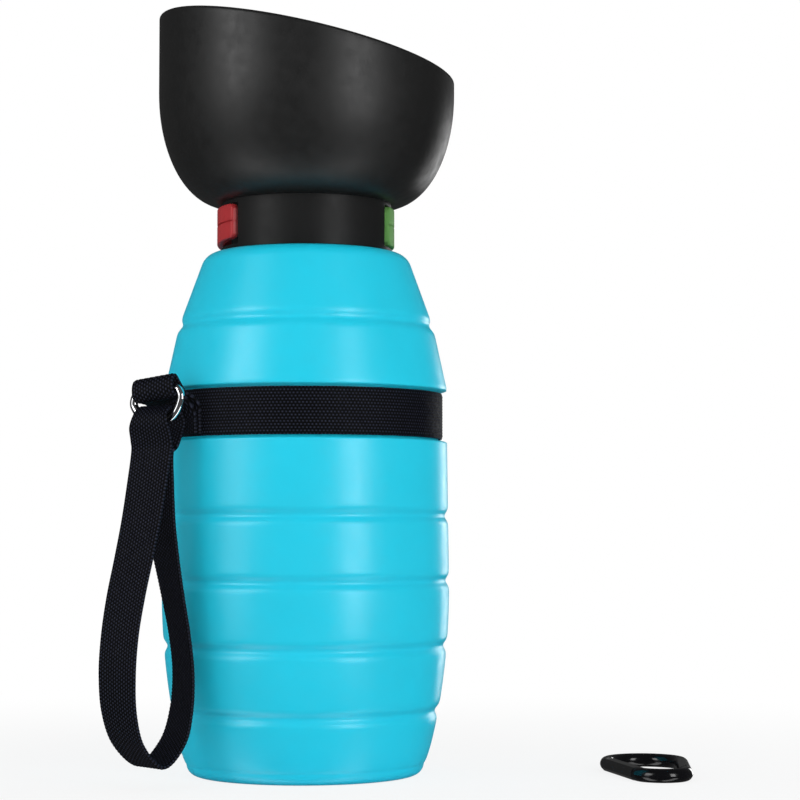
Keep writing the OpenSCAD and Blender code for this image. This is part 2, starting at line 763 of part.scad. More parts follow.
bottle_body();
cap_gasket();
cap_collar();
lower_valve_seal();
slide_bar();
close_button();
open_button();
upper_valve_seal();
valve_cover();
bowl();
outlet_nozzle();
bowl_clamp_ring();
clamp_screws();
strap_band();
strap_tab();
d_ring();
wrist_strap();
hook_body();
hook_gate();
gate_pin();
gate_spring();
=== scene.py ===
import math

import bpy
import numpy as np
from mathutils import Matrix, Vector


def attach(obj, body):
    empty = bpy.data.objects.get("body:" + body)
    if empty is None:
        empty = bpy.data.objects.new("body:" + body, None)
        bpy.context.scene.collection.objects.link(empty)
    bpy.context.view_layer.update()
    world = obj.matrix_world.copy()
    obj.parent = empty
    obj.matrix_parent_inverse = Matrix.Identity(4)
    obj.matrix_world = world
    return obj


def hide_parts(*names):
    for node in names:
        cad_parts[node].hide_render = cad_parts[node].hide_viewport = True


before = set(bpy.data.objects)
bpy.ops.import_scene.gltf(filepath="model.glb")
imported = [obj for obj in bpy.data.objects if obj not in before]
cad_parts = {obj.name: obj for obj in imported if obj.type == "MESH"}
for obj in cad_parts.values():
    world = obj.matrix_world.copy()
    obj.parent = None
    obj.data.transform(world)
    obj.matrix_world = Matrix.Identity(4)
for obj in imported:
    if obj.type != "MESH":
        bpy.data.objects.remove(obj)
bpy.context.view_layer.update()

MM = 0.001

# ---- Sizes in millimetres, as in the part's source ----

BELLY_R, BELLY_Z, BASE_R, BASE_CORNER = 40.0, 52.0, 32.9, 3.2
LIP_R, CONE_R, SHOULDER_R, SHOULDER_Z, SHOULDER_ROUND = 39.3, 35.6, 30.3, 145.0, 6.0
# The dressed shoulder's tangent rounding, the groove under the base, and the rounding of small edges
FILLET = 5.0
FOOT_IN, FOOT_OUT, FOOT_DEPTH = 14.0, 22.0, 1.0
EDGE_ROUND = 0.3
WALL, GROOVE_DEPTH, GROOVE_W, GROOVE_Z, GROOVE_PITCH = 1.3, 1.0, 1.4, 17.8, 17.9
NECK_R, MOUTH_R, NECK_H = 16.2, 14.4, 4.6
THREAD_PITCH, THREAD_DEPTH, THREAD_W, THREAD_ROOT, THREAD_START = 2.4, 0.9, 1.1, 0.2, 1.3
WEB_W, WEB_T, BAND_Z, BAND_SEAT, WEB_GAP = 12.7, 1.2, 99.2, 2.3, 0.3
SEAT_ROOM, SEAT_EASE = 0.5, 0.7
LIP_Z, CONE_Z = BAND_Z + 8.2, BAND_Z + 25.2
BAND_FLOOR = LIP_R - BAND_SEAT
BAND_R = BAND_FLOOR + 0.05
COLLAR_R, COLLAR_H = 23.8, 13.6
COLLAR_Z = SHOULDER_Z + 0.3
FLOOR_Z = COLLAR_Z + COLLAR_H
SLIDE_TURN = 8.75
BUTTON_W, BUTTON_H, BUTTON_T = 24.0, 10.9, 2.0
BUTTON_Z = COLLAR_Z + (COLLAR_H - BUTTON_H) / 2
CLOSE_R, OPEN_R = COLLAR_R + 1.3, COLLAR_R + 0.9
BOWL_R, RIM_Z, RIM_TILT, BOWL_ROUND_H, BOWL_FLOOR_R = 41.6, 203.0, 12.4, 31.0, 24.4
BOWL_WALL, BOWL_FLOOR_T, NOZZLE_R = 2.4, 2.6, 4.4
RING_WIRE_R, RING_DROP, RING_TURN, RING_TILT, TAB_TURN, TAB_OUT = 1.1, 8.6, -27.6, 7.0, 217.2, 10.5
RING_HALF = WEB_W / 2 + WEB_GAP + RING_WIRE_R
RING_LEG = RING_DROP - RING_HALF
TAB_REACH = BAND_R + WEB_T + TAB_OUT
TAB_RISE = 1.5
# Steps round the bottle and the bowl
SEGMENTS = 224


def cosd(a):
    return math.cos(math.radians(a))


def sind(a):
    return math.sin(math.radians(a))


def lerp(a, b, t):
    return a + (b - a) * t


def smooth(t):
    """Eases from 0 to 1 as t does."""
    t = min(1.0, max(0.0, t))
    return t * t * (3 - 2 * t)


RING_AT = np.array([TAB_REACH * cosd(TAB_TURN), TAB_REACH * sind(TAB_TURN), BAND_Z + 5.4])
RING_NORMAL = np.array([sind(RING_TURN), -cosd(RING_TURN), 0.0])
RING_UP = np.array([-cosd(RING_TURN) * sind(RING_TILT), -sind(RING_TURN) * sind(RING_TILT),
                    cosd(RING_TILT)])
STRAP_TOP = RING_AT - RING_LEG * RING_UP - np.array([0, 0, RING_HALF])


# Pitch of the weave along and across the webbing, its relief, and the start of its yarn count
RIB, YARN, RELIEF = 0.98, WEB_W / 15, 0.15
U0 = 200 * YARN
# Cycles per millimetre of the fibres' lay, across and along
LAY_ACROSS, LAY_ALONG = 4.3, 2.1
# Columns and step of the woven mesh, the reach of its rounded edge, and how far the selvedge drops
COLUMNS, WEB_STEP, EDGE, SELVEDGE_DROP = 60, 0.23, 0.512, 0.22
# Share of the webbing's width that the band takes, with its rounded edges
BAND_SHARE = 0.985


# ---- Material helpers ----

class Mat:
    """A principled material with its texture nodes placed in object space, in millimetres."""

    def __init__(self, name, colour, rough, metallic=0.0, specular=0.5):
        self.m = bpy.data.materials.new(name)
        self.m.use_nodes = True
        self.t = self.m.node_tree
        self.b = self.t.nodes["Principled BSDF"]
        self.b.inputs["Base Color"].default_value = (*colour, 1)
        self.b.inputs["Roughness"].default_value = rough
        self.b.inputs["Metallic"].default_value = metallic
        self.b.inputs["Specular IOR Level"].default_value = specular
        self.colour = colour
        coord = self.node("ShaderNodeTexCoord")
        self.space = self.node("ShaderNodeMapping")
        self.space.inputs["Scale"].default_value = (1000, 1000, 1000)
        self.link(coord.outputs["Object"], self.space.inputs["Vector"])

    def node(self, kind):
        return self.t.nodes.new(kind)

    def link(self, a, b):
        self.t.links.new(a, b)

    def noise(self, scale, detail, rough=0.5):
        n = self.node("ShaderNodeTexNoise")
        n.inputs["Scale"].default_value = scale
        n.inputs["Detail"].default_value = detail
        n.inputs["Roughness"].default_value = rough
        self.link(self.space.outputs["Vector"], n.inputs["Vector"])
        return n.outputs["Fac"]

    def spread(self, fac, low, high):
        """Maps the range that most of a noise lies in, 0.3 to 0.7, to low and high."""
        n = self.node("ShaderNodeMapRange")
        n.inputs["From Min"].default_value = 0.3
        n.inputs["From Max"].default_value = 0.7
        n.inputs["To Min"].default_value = low
        n.inputs["To Max"].default_value = high
        self.link(fac, n.inputs["Value"])
        return n.outputs["Result"]

    def math(self, op, a, b=None):
        """A math node on sockets or plain numbers."""
        n = self.node("ShaderNodeMath")
        n.operation = op
        for i, v in enumerate((a, b)):
            if v is None:
                continue
            if isinstance(v, (int, float)):
                n.inputs[i].default_value = v
            else:
                self.link(v, n.inputs[i])
        return n.outputs[0]

    def shades(self, fac, low, high):
        """The base colour, from low times to high times the material's own."""
        n = self.node("ShaderNodeMix")
        n.data_type = "RGBA"
        n.inputs["A"].default_value = (*[c * low for c in self.colour], 1)
        n.inputs["B"].default_value = (*[min(1, c * high) for c in self.colour], 1)
        self.link(fac, n.inputs["Factor"])
        self.link(n.outputs["Result"], self.b.inputs["Base Color"])

    def roughness(self, fac, low, high):
        self.link(self.spread(fac, low, high), self.b.inputs["Roughness"])

    def bump(self, height, strength, distance):
        n = self.node("ShaderNodeBump")
        n.inputs["Strength"].default_value = strength
        n.inputs["Distance"].default_value = distance
        self.link(height, n.inputs["Height"])
        self.link(n.outputs["Normal"], self.b.inputs["Normal"])


def plastic(name, colour, rough, specular, grain, depth, tone=0.04):
    """Moulded plastic: a slow drift in tone, a fine spark-eroded grain, and uneven gloss."""
    p = Mat(name, colour, rough, 0.0, specular)
    p.shades(p.spread(p.noise(0.05, 4.0), 0, 1), 1 - tone, 1 + tone)
    p.roughness(p.noise(0.3, 3.0), rough - 0.05, rough + 0.05)
    p.bump(p.noise(grain, 2.0), 0.35, depth * MM)
    return p.m


def metal(name, colour, rough):
    """Bright metal with a little wear in its gloss and fine scratches."""
    p = Mat(name, colour, rough, 1.0)
    p.shades(p.spread(p.noise(0.4, 4.0), 0, 1), 0.93, 1.0)
    p.roughness(p.noise(1.5, 5.0, 0.7), max(0.02, rough - 0.03), rough + 0.05)
    p.bump(p.noise(3.0, 6.0, 0.7), 0.15, 0.01 * MM)
    return p.m


def webbing_material(name, colour):
    """Woven webbing: a painted highlight on each float's crown and painted shade in the gaps between
    floats, with the yarns' own lay.
    """
    p = Mat(name, colour, 0.6, 0.0, 0.08)
    uv = p.node("ShaderNodeUVMap")
    uv.uv_map = "weave"
    split = p.node("ShaderNodeSeparateXYZ")
    p.link(uv.outputs["UV"], split.inputs["Vector"])
    u, v = split.outputs["X"], split.outputs["Y"]
    across = p.math("DIVIDE", u, YARN)
    column = p.math("FLOOR", across)
    shift = p.math("MULTIPLY", p.math("MODULO", column, 2.0), 0.5)
    x = p.math("FRACT", across)
    y = p.math("FRACT", p.math("ADD", p.math("DIVIDE", v, RIB), shift))
    crown = p.math("MULTIPLY", p.math("SINE", p.math("MULTIPLY", x, math.pi)),
                   p.math("SINE", p.math("MULTIPLY", y, math.pi)))
    crown = p.math("POWER", p.math("MAXIMUM", crown, 0.0), 3.0)
    lay = p.math("SINE", p.math("ADD", p.math("MULTIPLY", u, 2 * math.pi * LAY_ACROSS),
                                p.math("MULTIPLY", v, 2 * math.pi * LAY_ALONG)))
    fuzz = p.noise(2.2, 6.0, 0.75)
    # Painted highlight and painted shade: the crown factor, varied by the noise, lifts the colour to 13
    # times on the floats' crowns and drops it to 0.15 times in the gaps.
    tone = p.math("MULTIPLY", crown, p.spread(fuzz, 0.35, 1.25))
    p.shades(tone, 0.15, 13.0)
    p.roughness(p.noise(0.8, 3.0), 0.46, 0.68)
    p.bump(p.math("ADD", p.math("MULTIPLY", lay, 0.35), p.math("MULTIPLY", fuzz, 0.8)), 0.5, 0.05 * MM)
    return p.m


BODY_BLUE = plastic("bottle_plastic_mat", (0.012, 0.60, 0.80), 0.33, 0.33, 2.5, 0.02, 0.02)
BLACK_SATIN = plastic("cap_plastic_mat", (0.0115, 0.0115, 0.0115), 0.44, 0.12, 4.0, 0.02, 0.12)
BOWL_BLACK = plastic("bowl_rubber_mat", (0.0084, 0.0084, 0.0084), 0.44, 0.42, 4.5, 0.025, 0.12)
SEAL_PALE = plastic("seal_rubber_mat", (0.66, 0.66, 0.63), 0.6, 0.35, 3.0, 0.02)
SLIDE_PALE = plastic("slide_plastic_mat", (0.74, 0.74, 0.71), 0.35, 0.45, 5.0, 0.01)
CLOSE_RED = plastic("close_red_mat", (0.42, 0.030, 0.034), 0.38, 0.2, 5.0, 0.02)
OPEN_GREEN = plastic("open_green_mat", (0.115, 0.29, 0.075), 0.5, 0.06, 5.0, 0.02)
INNER_BLACK = plastic("inner_plastic_mat", (0.012, 0.012, 0.013), 0.5, 0.2, 3.0, 0.03, 0.1)
HOOK_BLACK = plastic("hook_black_mat", (0.003, 0.003, 0.004), 0.14, 0.4, 1.2, 0.006, 0.1)
CHROME = metal("ring_chrome_mat", (0.80, 0.81, 0.83), 0.06)
STEEL = metal("screw_steel_mat", (0.62, 0.62, 0.64), 0.28)
WEBBING = webbing_material("webbing_mat", (0.0026, 0.0030, 0.0052))


# ---- Mesh helpers ----

def build(name, points, faces, material, body, replaces, uvs=None):
    """Makes a mesh piece from points in millimetres. It rides on a body in place of CAD nodes."""
    mesh = bpy.data.meshes.new(name)
    mesh.from_pydata([tuple(p) for p in np.asarray(points, float) * MM], [], [tuple(f) for f in faces])
    mesh.validate()
    if uvs is not None:
        layer = mesh.uv_layers.new(name="weave")
        layer.data.foreach_set("uv", np.asarray(uvs, float).ravel())
    mesh.materials.append(material)
    mesh.polygons.foreach_set("use_smooth", [True] * len(mesh.polygons))
    mesh.update()
    o = bpy.data.objects.new(name, mesh)
    bpy.context.collection.objects.link(o)
    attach(o, body)
    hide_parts(*replaces)
    return o


def lathe(profile):
    """Points and faces of a revolved outline of (radius, height). Radii of 0 close on the axis."""
    prof = np.asarray(profile, float)
    points, rows = [], []
    for r, z in prof:
        if r < 1e-6:
            rows.append([len(points)] * SEGMENTS)
            points.append((0.0, 0.0, z))
        else:
            rows.append(list(range(len(points), len(points) + SEGMENTS)))
            a = np.linspace(0, 2 * np.pi, SEGMENTS, endpoint=False)
            points += list(zip(r * np.cos(a), r * np.sin(a), np.full(SEGMENTS, z)))
    faces = []
    for low, high in zip(rows[:-1], rows[1:]):
        for i in range(SEGMENTS):
            j = (i + 1) % SEGMENTS
            f = [low[i], low[j], high[j], high[i]]
            g = [f[k] for k in range(4) if f[k] != f[(k + 1) % 4]]
            if len(g) > 2:
                faces.append(g)
    return points, faces


def sharpen(o, angle):
    """Keeps edges over an angle crisp under smooth shading."""
    o.data.set_sharp_from_angle(angle=math.radians(angle))


def catmull(p, steps, closed=False):
    """The source's own smooth curve through points, at a finer step."""
    p = np.asarray(p, float)
    n = len(p)
    out = []
    t = np.linspace(0, 1, steps, endpoint=False)[:, None]
    for i in range(n if closed else n - 1):
        k = [(i + j) % n for j in (-1, 0, 1, 2)] if closed else \
            [max(0, i - 1), i, min(n - 1, i + 1), min(n - 1, i + 2)]
        a, b, c, d = (p[j] for j in k)
        out.append(0.5 * (2 * b + (c - a) * t + (2 * a - 5 * b + 4 * c - d) * t ** 2
                          + (3 * b - a - 3 * c + d) * t ** 3))
    if not closed:
        out.append(p[-1:])
    return np.concatenate(out)


def even(path, step, closed):
    """Resamples a path at an even step along its length."""
    q = np.vstack([path, path[:1]]) if closed else path
    s = np.concatenate([[0], np.cumsum(np.linalg.norm(np.diff(q[:, :3], axis=0), axis=1))])
    n = max(8, int(round(s[-1] / step)))
    at = np.linspace(0, s[-1], n + 1)
    fine = np.stack([np.interp(at, s, q[:, k]) for k in range(q.shape[1])], axis=1)
    return (fine[:-1] if closed else fine), s[-1]


def strip_frames(path, closed):
    """The webbing's width direction and its face's normal at each point, as in the source."""
    pos = path[:, :3]
    if closed:
        along = np.roll(pos, -1, 0) - np.roll(pos, 1, 0)
    else:
        along = np.gradient(pos, axis=0)
    along /= np.linalg.norm(along, axis=1)[:, None]
    a = np.radians(path[:, 3])
    b = np.radians(path[:, 5])
    level = np.stack([np.cos(a) * np.cos(b), np.sin(a) * np.cos(b), np.sin(b)], axis=1)
    across = level - along * np.sum(level * along, axis=1)[:, None]
    across /= np.linalg.norm(across, axis=1)[:, None]
    return across, np.cross(along, across)


def weave_height(u, v):
    """Relief of the woven face: short floats in a chevron, each a rounded pill."""
    col = np.floor(u / YARN)
    x = u / YARN - col
    y = v / RIB + 0.5 * (col % 2)
    y = y - np.floor(y)
    return RELIEF * (np.sin(np.pi * x) ** 0.7 * np.sin(np.pi * y) ** 0.7)


def woven_section():
    """Once round the webbing's section, in shares of its width and thickness, with rounded edges."""
    face = np.arange(COLUMNS + 1) / COLUMNS - 0.5
    return np.array([(f, 0.5) for f in face] + [(EDGE, 0.2), (EDGE, -0.2)]
                    + [(f, -0.5) for f in face[::-1]] + [(-EDGE, -0.2), (-EDGE, 0.2)])


def woven_height(ring, along):
    """How far each point of the section stands off the webbing's middle, at each length along it."""
    side = ring[:, 1]
    flat = np.abs(side) > 0.45
    selvedge = np.clip((np.abs(ring[:, 0]) - 0.44) / 0.06, 0, 1) ** 2 * SELVEDGE_DROP
    plain = np.sign(side) * (WEB_T / 2 - RELIEF - selvedge * flat) * np.minimum(1, np.abs(side) * 2)
    u = ring[:, 0] * WEB_W + U0
    relief = weave_height(u[None, :] + 0 * along[:, None], along[:, None] + 0 * u[None, :]) * flat
    return plain + np.sign(side) * relief


def woven_faces(ring, n, rows, step, flip):
    """Quads along the webbing and their places in the weave."""
    m = len(ring)
    u = ring[:, 0] * WEB_W + U0
    faces, uvs = [], []
    for i in range(rows):
        a, b = i * m, ((i + 1) % n) * m
        for k in range(m):
            j = (k + 1) % m
            quad = [(a + k, u[k], i), (b + k, u[k], i + 1), (b + j, u[j], i + 1), (a + j, u[j], i)]
            quad = quad[::-1] if flip else quad
            faces.append(tuple(q[0] for q in quad))
            uvs += [(q[1], q[2] * step) for q in quad]
    return faces, uvs


def webbing(name, points, body, replaces, closed=False):
    """Webbing along [x, y, z, turn, width, tilt]: rounded selvedges and a woven relief on both faces."""
    path, length = even(catmull(points, 24, closed), WEB_STEP, closed)
    across, normal = strip_frames(path, closed)
    n = len(path)
    rows = n if closed else n - 1
    step = length / rows
    pace = round(length / RIB) * RIB / length if closed else 1.0
    ring = woven_section()
    m = len(ring)
    h = woven_height(ring, np.arange(n) * step * pace)
    u = ring[:, 0][None, :] * path[:, 4][:, None]
    pts = path[:, None, :3] + across[:, None, :] * u[..., None] + normal[:, None, :] * h[..., None]
    faces, uvs = woven_faces(ring, n, rows, step * pace, False)
    if not closed:
        for base, turn in ((0, 1), ((n - 1) * m, -1)):
            cap = [base + k for k in range(m)][::turn]
            faces.append(tuple(cap))
            uvs += [(ring[c - base, 0] * WEB_W + U0, 0) for c in cap]
    return build(name, pts.reshape(-1, 3), faces, WEBBING, body, replaces, uvs)


def tube(points, radius, sides):
    """A closed round wire along points in millimetres, with a frame carried along it."""
    p = np.asarray(points, float)
    n = len(p)
    along = np.roll(p, -1, 0) - np.roll(p, 1, 0)
    along /= np.linalg.norm(along, axis=1)[:, None]
    side = np.cross(along[0], [0.31, 0.55, 0.77])
    side /= np.linalg.norm(side)
    pts = []
    for i in range(n):
        side = side - along[i] * np.dot(side, along[i])
        side /= np.linalg.norm(side)
        up = np.cross(along[i], side)
        a = np.linspace(0, 2 * np.pi, sides, endpoint=False)
        pts.append(p[i] + radius * (np.cos(a)[:, None] * side + np.sin(a)[:, None] * up))
    faces = []
    for i in range(n):
        a, b = i * sides, ((i + 1) % n) * sides
        faces += [(a + k, a + (k + 1) % sides, b + (k + 1) % sides, b + k) for k in range(sides)]
    return np.concatenate(pts), faces


# ---- Bottle ----

def barrel_r(z):
    """The plain barrel's radius: a round belly up to BELLY_Z, then three straight tapers."""
    if z < BELLY_Z:
        return BASE_R + (BELLY_R - BASE_R) * sind(90 * (z - BASE_CORNER) / (BELLY_Z - BASE_CORNER)) ** 0.7
    if z < LIP_Z:
        return BELLY_R + (LIP_R - BELLY_R) * (z - BELLY_Z) / (LIP_Z - BELLY_Z)
    if z < CONE_Z:
        return LIP_R + (CONE_R - LIP_R) * (z - LIP_Z) / (CONE_Z - LIP_Z)
    return CONE_R + (SHOULDER_R - CONE_R) * (z - CONE_Z) / (SHOULDER_Z - SHOULDER_ROUND - CONE_Z)


def outside_r(z):
    """The barrel's radius with its grooves and the band's seat."""
    grooves = [GROOVE_Z + i * GROOVE_PITCH for i in range(4)] + [CONE_Z]
    cut = max(GROOVE_DEPTH * math.exp(-((z - g) / GROOVE_W) ** 2) for g in grooves)
    seat = 1 - smooth((abs(z - BAND_Z) - (WEB_W + SEAT_ROOM) / 2) / SEAT_EASE)
    return (barrel_r(z) - cut) * (1 - seat) + BAND_FLOOR * seat


def bottle_profile():
    """The bottle's outline: base, corner, grooved barrel, shoulder, neck, and back down inside."""
    groove = ((0.2, 0), (0, 0.15), (-0.2, 0.9), (-0.5, FOOT_DEPTH))
    out = [(0, 0)] + [(FOOT_IN - d, z) for d, z in groove] + [(FOOT_OUT + d, z) for d, z in groove[::-1]]
    corner = BASE_R - BASE_CORNER
    out += [(corner + BASE_CORNER * cosd(a), BASE_CORNER + BASE_CORNER * sind(a))
            for a in range(-90, -4, 6)]
    z = BASE_CORNER + 0.1
    lean = math.degrees(math.atan((CONE_R - SHOULDER_R) / (SHOULDER_Z - SHOULDER_ROUND - CONE_Z)))
    mid_z = SHOULDER_Z - FILLET
    mid_r = barrel_r(mid_z) - FILLET / cosd(lean)
    top = mid_z + FILLET * sind(lean)
    while z < top:
        out.append((outside_r(z), z))
        z += 0.3
    out += [(mid_r + FILLET * cosd(a), mid_z + FILLET * sind(a)) for a in np.linspace(lean, 90, 14)]
    lip_z, e = SHOULDER_Z + NECK_H, EDGE_ROUND
    out += [(NECK_R + e, SHOULDER_Z), (NECK_R, SHOULDER_Z + e), (NECK_R, lip_z - e), (NECK_R - e, lip_z),
            (MOUTH_R + e, lip_z), (MOUTH_R, lip_z - e), (MOUTH_R, SHOULDER_Z - 1.4),
            (MOUTH_R + e, SHOULDER_Z - 1.6)]
    out += [(mid_r + (FILLET - WALL) * cosd(a), mid_z + (FILLET - WALL) * sind(a))
            for a in np.linspace(90, lean, 7)]
    z = mid_z
    while z > BASE_CORNER + 0.1:
        out.append((outside_r(z) - WALL, z))
        z -= 0.9
    out += [(corner + (BASE_CORNER - WALL) * cosd(a), BASE_CORNER + (BASE_CORNER - WALL) * sind(a))
            for a in range(-12, -91, -12)]
    out += [(0, WALL)]
    return out


def neck_thread():
    """One turn of rounded thread that stands out of the neck and runs out at both ends."""
    pts, faces = [], []
    n, cross, run_out = 120, 7, 14
    for i in range(n + 1):
        grow = min(1.0, i / run_out, (n - i) / run_out)
        a = 2 * math.pi * i / n
        z = SHOULDER_Z + THREAD_START + THREAD_PITCH * i / n
        for k in range(cross):
            w = k / (cross - 1) - 0.5
            crown = math.cos(math.pi * w) ** 0.6 if abs(w) < 0.49 else 0.0
            r = NECK_R - THREAD_ROOT + (THREAD_DEPTH * grow + THREAD_ROOT) * crown
            pts.append((r * math.cos(a), r * math.sin(a), z + THREAD_W * w))
    for i in range(n):
        a, b = i * cross, (i + 1) * cross
        for k in range(cross):
            j = (k + 1) % cross
            faces.append((a + k, a + j, b + j, b + k) if k < cross - 1 else (a + k, a, b, b + k))
    faces.append(tuple(range(cross))[::-1])
    faces.append(tuple(range(n * cross, (n + 1) * cross)))
    return pts, faces


pts, faces = lathe(bottle_profile())
pts2, faces2 = neck_thread()
base_n = len(pts)
build("bottle_shell", pts + pts2, faces + [tuple(i + base_n for i in f) for f in faces2],
      BODY_BLUE, "bottle", ("bottle_body",))


# ---- Bowl ----

def bowl_surface():
    """The bowl's inside and outside, with a rolled rim in the slanted plane."""
    seg, arc, wall, rolls = SEGMENTS, 26, 8, 10
    tilt = math.tan(math.radians(RIM_TILT))
    round_z = FLOOR_Z + BOWL_ROUND_H
    floor_top = FLOOR_Z + BOWL_FLOOR_T
    rows_out = [(NOZZLE_R, FLOOR_Z), (BOWL_FLOOR_R - 1.2, FLOOR_Z), (BOWL_FLOOR_R - 0.2, FLOOR_Z + 0.05)]
    for i in range(1, arc + 1):
        a = 90 * i / arc
        r = BOWL_FLOOR_R + (BOWL_R - BOWL_FLOOR_R) * sind(a)
        rows_out.append((r, round_z - BOWL_ROUND_H * cosd(a)))
    rows_in = []
    for i in range(arc, -1, -1):
        a = 90 * i / arc
        z = round_z - (BOWL_ROUND_H - BOWL_WALL) * cosd(a)
        rows_in.append((BOWL_FLOOR_R + (BOWL_R - BOWL_FLOOR_R - BOWL_WALL) * sind(a), max(z, floor_top)))
    rows_in += [(BOWL_FLOOR_R - 1.0, floor_top), (NOZZLE_R, floor_top)]
    ang = np.linspace(0, 2 * np.pi, seg, endpoint=False)
    mid = BOWL_R - BOWL_WALL / 2
    roll = BOWL_WALL / 2
    roll_h = roll * 0.85
    top = RIM_Z - mid * np.cos(ang) * tilt - roll_h

    def level(outline):
        return [(np.full(seg, r), np.full(seg, z)) for r, z in outline]

    def slanted(r, shares):
        return [(np.full(seg, r), round_z + (top - round_z) * (k / wall)) for k in shares]

    rim = [(np.full(seg, mid + roll * cosd(180 * k / rolls)), top + roll_h * sind(180 * k / rolls))
           for k in range(1, rolls)]
    rows = (level(rows_out) + slanted(BOWL_R, range(1, wall + 1)) + rim
            + slanted(BOWL_R - BOWL_WALL, range(wall, 0, -1)) + level(rows_in))
    pts = []
    for r, z in rows:
        pts += list(zip(r * np.cos(ang), r * np.sin(ang), z))
    faces = []
    for i in range(len(rows)):
        a, b = i * seg, ((i + 1) % len(rows)) * seg
        faces += [(a + k, a + (k + 1) % seg, b + (k + 1) % seg, b + k) for k in range(seg)]
    return pts, faces


pts, faces = bowl_surface()
bowl = build("bowl_shell", pts, faces, BOWL_BLACK, "cap", ("bowl",))
sharpen(bowl, 50)


# ---- Push buttons ----

def button_mesh(radius, line_z, line_depth, corner, lift):
    """A curved push button on the +X side: rounded edges, a fine line across its face, and a lower
    edge that rises by lift towards the front end."""
    nu, nv = 80, 72
    half_w, half_h = BUTTON_W / 2, BUTTON_H / 2
    soft, line_w = 0.55, 0.2
    pts, faces = [], []

    def face_point(i, j):
        y = -half_w + BUTTON_W * i / nu
        z = -half_h + BUTTON_H * j / nv
        dx = max(0.0, abs(y) - (half_w - corner))
        dz = max(0.0, abs(z) - (half_h - corner))
        if dx > 0 and dz > 0:
            d = math.hypot(dx, dz)
            if d > corner:
                y = math.copysign(half_w - corner + dx * corner / d, y)
                z = math.copysign(half_h - corner + dz * corner / d, z)
                d = corner
            into = corner - d
        else:
            into = min(half_w - abs(y), half_h - abs(z))
        drop = 0.0 if into > soft else soft - math.sqrt(max(0.0, soft ** 2 - (soft - into) ** 2))
        line = line_depth * math.exp(-((z - line_z) / line_w) ** 4) * min(1.0, max(0.0, into - 0.1) / 0.4)
        r = radius - drop * 0.9 - line
        a = math.asin(y / radius)
        raised = lift * smooth(0.5 - y / BUTTON_W) * max(0.0, line_z - z) / (line_z + half_h)
        return r * math.cos(a), r * math.sin(a), BUTTON_Z + half_h + z + raised

    for j in range(nv + 1):
        for i in range(nu + 1):
            pts.append(face_point(i, j))
    back = len(pts)
    for j in range(nv + 1):
        for i in range(nu + 1):
            x, y, z = pts[j * (nu + 1) + i]
            a = math.atan2(y, x)
            r = radius - BUTTON_T
            pts.append((r * math.cos(a), r * math.sin(a), z))
    w = nu + 1
    for j in range(nv):
        for i in range(nu):
            a = j * w + i
            faces.append((a, a + 1, a + w + 1, a + w))
            faces.append((back + a, back + a + w, back + a + w + 1, back + a + 1))
    rim = (list(range(w)) + [j * w + nu for j in range(1, nv + 1)]
           + [nv * w + i for i in range(nu - 1, -1, -1)] + [j * w for j in range(nv - 1, 0, -1)])
    for k in range(len(rim)):
        a, b = rim[k], rim[(k + 1) % len(rim)]
        faces.append((a, a + back, b + back, b))
    return np.array(pts), faces


def turned(points, angle, mirror=False):
    """Turns points about the bottle's axis, once mirrored to the -X side where asked."""
    p = np.array(points, float)
    if mirror:
        p[:, 0] = -p[:, 0]
    c, s = cosd(angle), sind(angle)
    return np.stack([p[:, 0] * c - p[:, 1] * s, p[:, 0] * s + p[:, 1] * c, p[:, 2]], axis=1)


pts, faces = button_mesh(CLOSE_R, 0.5, 0.6, 1.8, 1.2)
red = build("close_button_face", turned(pts, SLIDE_TURN, True), [f[::-1] for f in faces], CLOSE_RED,
            "valve", ("close_button",))
pts, faces = button_mesh(OPEN_R, 0.4, 0.3, 2.0, 0.0)
green = build("open_button_face", turned(pts, SLIDE_TURN), faces, OPEN_GREEN, "valve",
              ("open_button",))
for o in (red, green):
    sharpen(o, 55)


# ---- Webbing band, tab and wrist strap ----

def band():
    """The band is woven round the bottle; its width stands along Z."""
    r_mid = BAND_R + WEB_T / 2
    length = 2 * math.pi * r_mid
    ribs = round(length / RIB)
    n = ribs * 4
    step = length / n
    pace = RIB * ribs / length
    ring = woven_section()
    r = r_mid + woven_height(ring, np.arange(n) * step * pace)
    a = (np.arange(n) / n * 2 * np.pi)[:, None]
    z = BAND_Z + ring[:, 0][None, :] * WEB_W * BAND_SHARE + 0 * r
    pts = np.stack([r * np.cos(a), r * np.sin(a), z], axis=2).reshape(-1, 3)
    faces, uvs = woven_faces(ring, n, n, step * pace, True)
    build("band_webbing", pts, faces, WEBBING, "bottle", ("strap_band",), uvs)


band()


def tab_point(out, up, share):
    """A point of the tab's middle line, measured from the band's face. The tab takes on its twist
    towards the ring's bar by share."""
    r = BAND_R + WEB_T + out
    turn = lerp(TAB_TURN - 270, RING_TURN, share)
    return [r * cosd(TAB_TURN), r * sind(TAB_TURN), BAND_Z + up, turn, WEB_W, share * RING_TILT]


def bar_point(across, up, share):
    """A point of the tab's middle line, measured from the ring's bar."""
    q = RING_AT + across * RING_NORMAL + up * RING_UP
    return [*q, lerp(TAB_TURN - 270, RING_TURN, share), WEB_W, share * RING_TILT]


def tab_path():
    """Up from the band, over the ring's bar and down again over the first ply."""
    fold_r = RING_WIRE_R + WEB_GAP + WEB_T / 2
    ply = WEB_T / 2 + 0.05
    foot = 0.5 - WEB_W / 2
    inner = [tab_point(ply, foot, 0), tab_point(ply, -3, 0), tab_point(ply + 0.4, 0, 0.05),
             tab_point(2.3, 2.4, 0.35), bar_point(-4.1, -0.6, 0.9), bar_point(-2.9, 0.6, 1)]
    over = [bar_point(fold_r * cosd(a), fold_r * sind(a) + TAB_RISE * max(0, sind(a)), 1)
            for a in range(140, -113, -36)]
    outer = [bar_point(-2.3, -2.1, 1), bar_point(-4.5, -2.7, 0.85), tab_point(3.9, 0.4, 0.45),
             tab_point(ply + WEB_T + 0.7, -2.4, 0.1), tab_point(ply + WEB_T + 0.2, foot, 0)]
    return inner + over + outer


